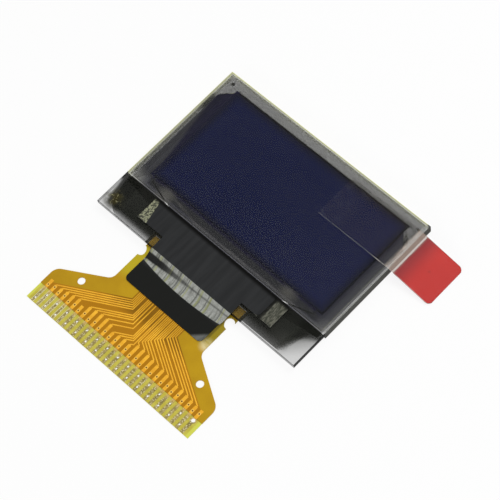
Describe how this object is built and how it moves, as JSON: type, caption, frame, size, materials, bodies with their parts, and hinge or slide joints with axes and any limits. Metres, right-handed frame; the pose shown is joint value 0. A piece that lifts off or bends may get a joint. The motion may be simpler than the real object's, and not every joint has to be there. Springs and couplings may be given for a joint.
{
  "type": "small oled module",
  "caption": "Small monochrome display panel with a bent flexible tail, solder pads, black tape and a red pull tab.",
  "frame": {"origin": "middle of the panel's outline on its rear face, which lies on the table", "axes": "+X along the panel's long side, +Y away from the flex tail, +Z out of the viewing face"},
  "size_m": [0.0318, 0.0309, 0.0014],
  "materials": {
    "clear_glass": "polished",
    "edge_glue": "cured clear glue",
    "desiccant": "matt sheet",
    "cathode_metal": "mirror metal seen dark through the polarizer",
    "organic_film": "deep navy film",
    "lead_metal": "dark bright metal film",
    "chip_silicon": "ground silicon",
    "bond_film": "cured glue film",
    "dark_resin": "smooth dark resin",
    "polarizer": "smooth plastic sheet",
    "clear_film": "thin clear film",
    "red_film": "satin film",
    "foil": "speckled silver",
    "black_tape": "satin tape",
    "polyimide": "translucent amber film",
    "coverlay": "amber film",
    "copper": "bright track"
  },
  "bodies": {
    "root": {"substrate_glass": "clear_glass", "cap_glass": "clear_glass", "edge_seal": "edge_glue", "desiccant_sheet": "desiccant", "cathode_film": "cathode_metal", "emitter_layer": "organic_film", "column_leads": "lead_metal", "row_leads_left": "lead_metal", "row_leads_right": "lead_metal", "input_leads": "lead_metal", "alignment_marks": "lead_metal", "chip_bond_film": "bond_film", "driver_chip": "chip_silicon", "flex_bond_film": "bond_film", "ledge_sealant": "dark_resin", "polarizer": "polarizer", "protective_film": "clear_film", "pull_tab_tape": "clear_film", "pull_tab_grip": "red_film", "foil_strip": "foil", "black_tape": "black_tape", "flex_base": "polyimide", "flex_coverlay": "coverlay", "rear_coverlay": "coverlay", "conductor_01": "copper", "conductor_02": "copper", "conductor_03": "copper", "conductor_04": "copper", "conductor_05": "copper", "conductor_06": "copper", "conductor_07": "copper", "conductor_08": "copper", "conductor_09": "copper", "conductor_10": "copper", "conductor_11": "copper", "conductor_12": "copper", "conductor_13": "copper", "conductor_14": "copper", "conductor_15": "copper", "conductor_16": "copper", "conductor_17": "copper", "conductor_18": "copper", "conductor_19": "copper", "conductor_20": "copper", "conductor_21": "copper", "conductor_22": "copper", "conductor_23": "copper", "conductor_24": "copper", "conductor_25": "copper", "conductor_26": "copper", "conductor_27": "copper", "conductor_28": "copper", "conductor_29": "copper", "conductor_30": "copper"}
  },
  "joints": []
}
